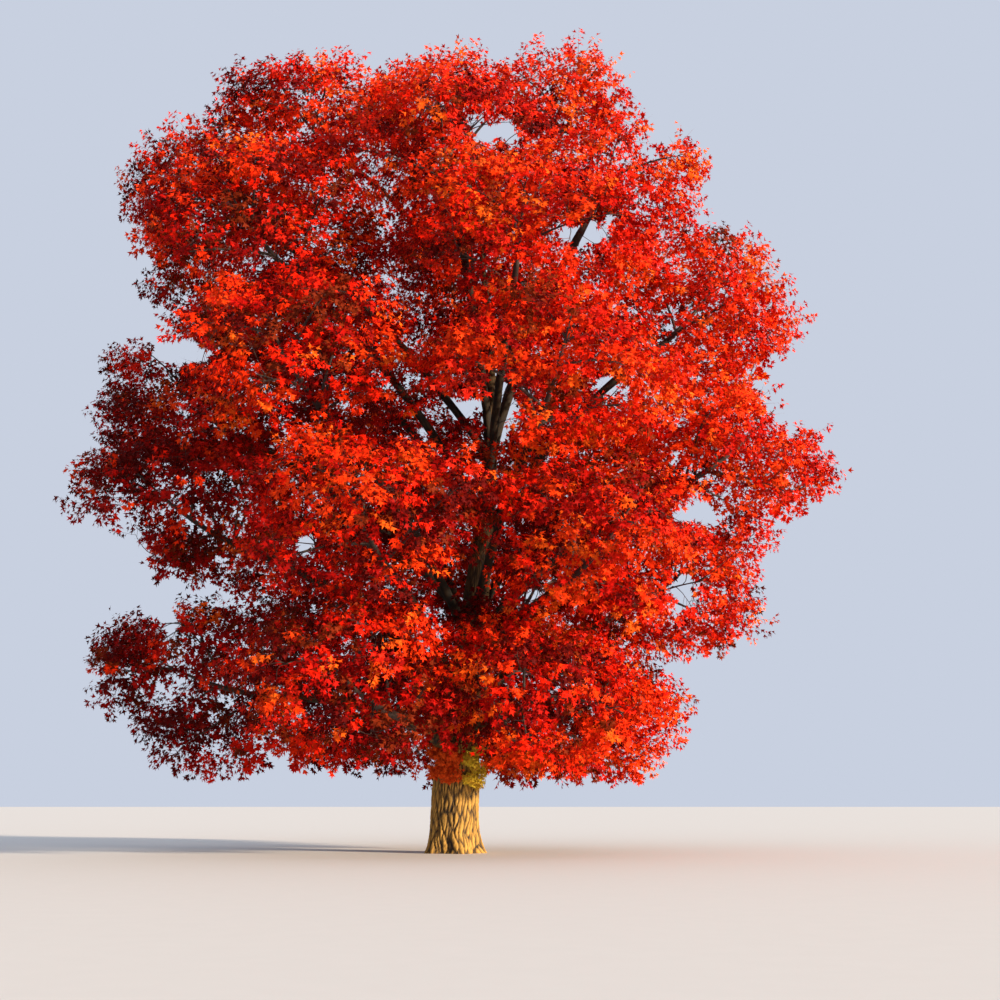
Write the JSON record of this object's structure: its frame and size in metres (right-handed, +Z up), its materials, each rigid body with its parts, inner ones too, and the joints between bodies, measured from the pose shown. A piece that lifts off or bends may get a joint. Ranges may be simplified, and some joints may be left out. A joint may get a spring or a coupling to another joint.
{
  "type": "red maple tree",
  "caption": "Full-grown red maple in autumn leaf: a furrowed trunk on its root flare, tapering boughs, and a broad crown of masses of foliage, rooted in the ground.",
  "frame": {"origin": "middle of the flat cut under the trunk, at ground level", "axes": "+Z up along the trunk, +Y away from the side that the reference shows, +X to the right of that view"},
  "size_m": [16.238, 14.0425, 18.3696],
  "materials": {
    "trunk_bark": "furrowed, matt",
    "bough_bark": "fissured, matt",
    "foliage": "autumn red, satin"
  },
  "bodies": {
    "root": {"trunk": "trunk_bark", "bough_crest_left": "bough_bark", "bough_crest_right": "bough_bark", "bough_high_back": "bough_bark", "bough_high_back_left": "bough_bark", "bough_high_front": "bough_bark", "bough_high_front_left": "bough_bark", "bough_high_right": "bough_bark", "bough_low_back": "bough_bark", "bough_low_back_left": "bough_bark", "bough_low_front": "bough_bark", "bough_low_front_right": "bough_bark", "bough_low_left": "bough_bark", "bough_low_right": "bough_bark", "bough_middle_back_left": "bough_bark", "bough_middle_back_right": "bough_bark", "bough_middle_front_left": "bough_bark", "bough_middle_front_right": "bough_bark", "bough_middle_left": "bough_bark", "bough_middle_right": "bough_bark", "bough_shoulder_back": "bough_bark", "bough_shoulder_front": "bough_bark", "bough_shoulder_left": "bough_bark", "bough_shoulder_right": "bough_bark", "bough_skirt_back_left": "bough_bark", "bough_skirt_back_right": "bough_bark", "bough_skirt_front_left": "bough_bark", "bough_skirt_front_right": "bough_bark", "bough_skirt_left": "bough_bark", "bough_skirt_right": "bough_bark", "foliage_crest_left": "foliage", "foliage_crest_right": "foliage", "foliage_crest_top": "foliage", "foliage_high_back": "foliage", "foliage_high_back_left": "foliage", "foliage_high_front": "foliage", "foliage_high_front_left": "foliage", "foliage_high_right": "foliage", "foliage_low_back": "foliage", "foliage_low_back_left": "foliage", "foliage_low_front": "foliage", "foliage_low_front_right": "foliage", "foliage_low_left": "foliage", "foliage_low_right": "foliage", "foliage_middle_back_left": "foliage", "foliage_middle_back_right": "foliage", "foliage_middle_front_left": "foliage", "foliage_middle_front_right": "foliage", "foliage_middle_left": "foliage", "foliage_middle_right": "foliage", "foliage_shoulder_back": "foliage", "foliage_shoulder_front": "foliage", "foliage_shoulder_left": "foliage", "foliage_shoulder_right": "foliage", "foliage_skirt_back_left": "foliage", "foliage_skirt_back_right": "foliage", "foliage_skirt_front_left": "foliage", "foliage_skirt_front_right": "foliage", "foliage_skirt_left": "foliage", "foliage_skirt_right": "foliage"}
  },
  "joints": []
}
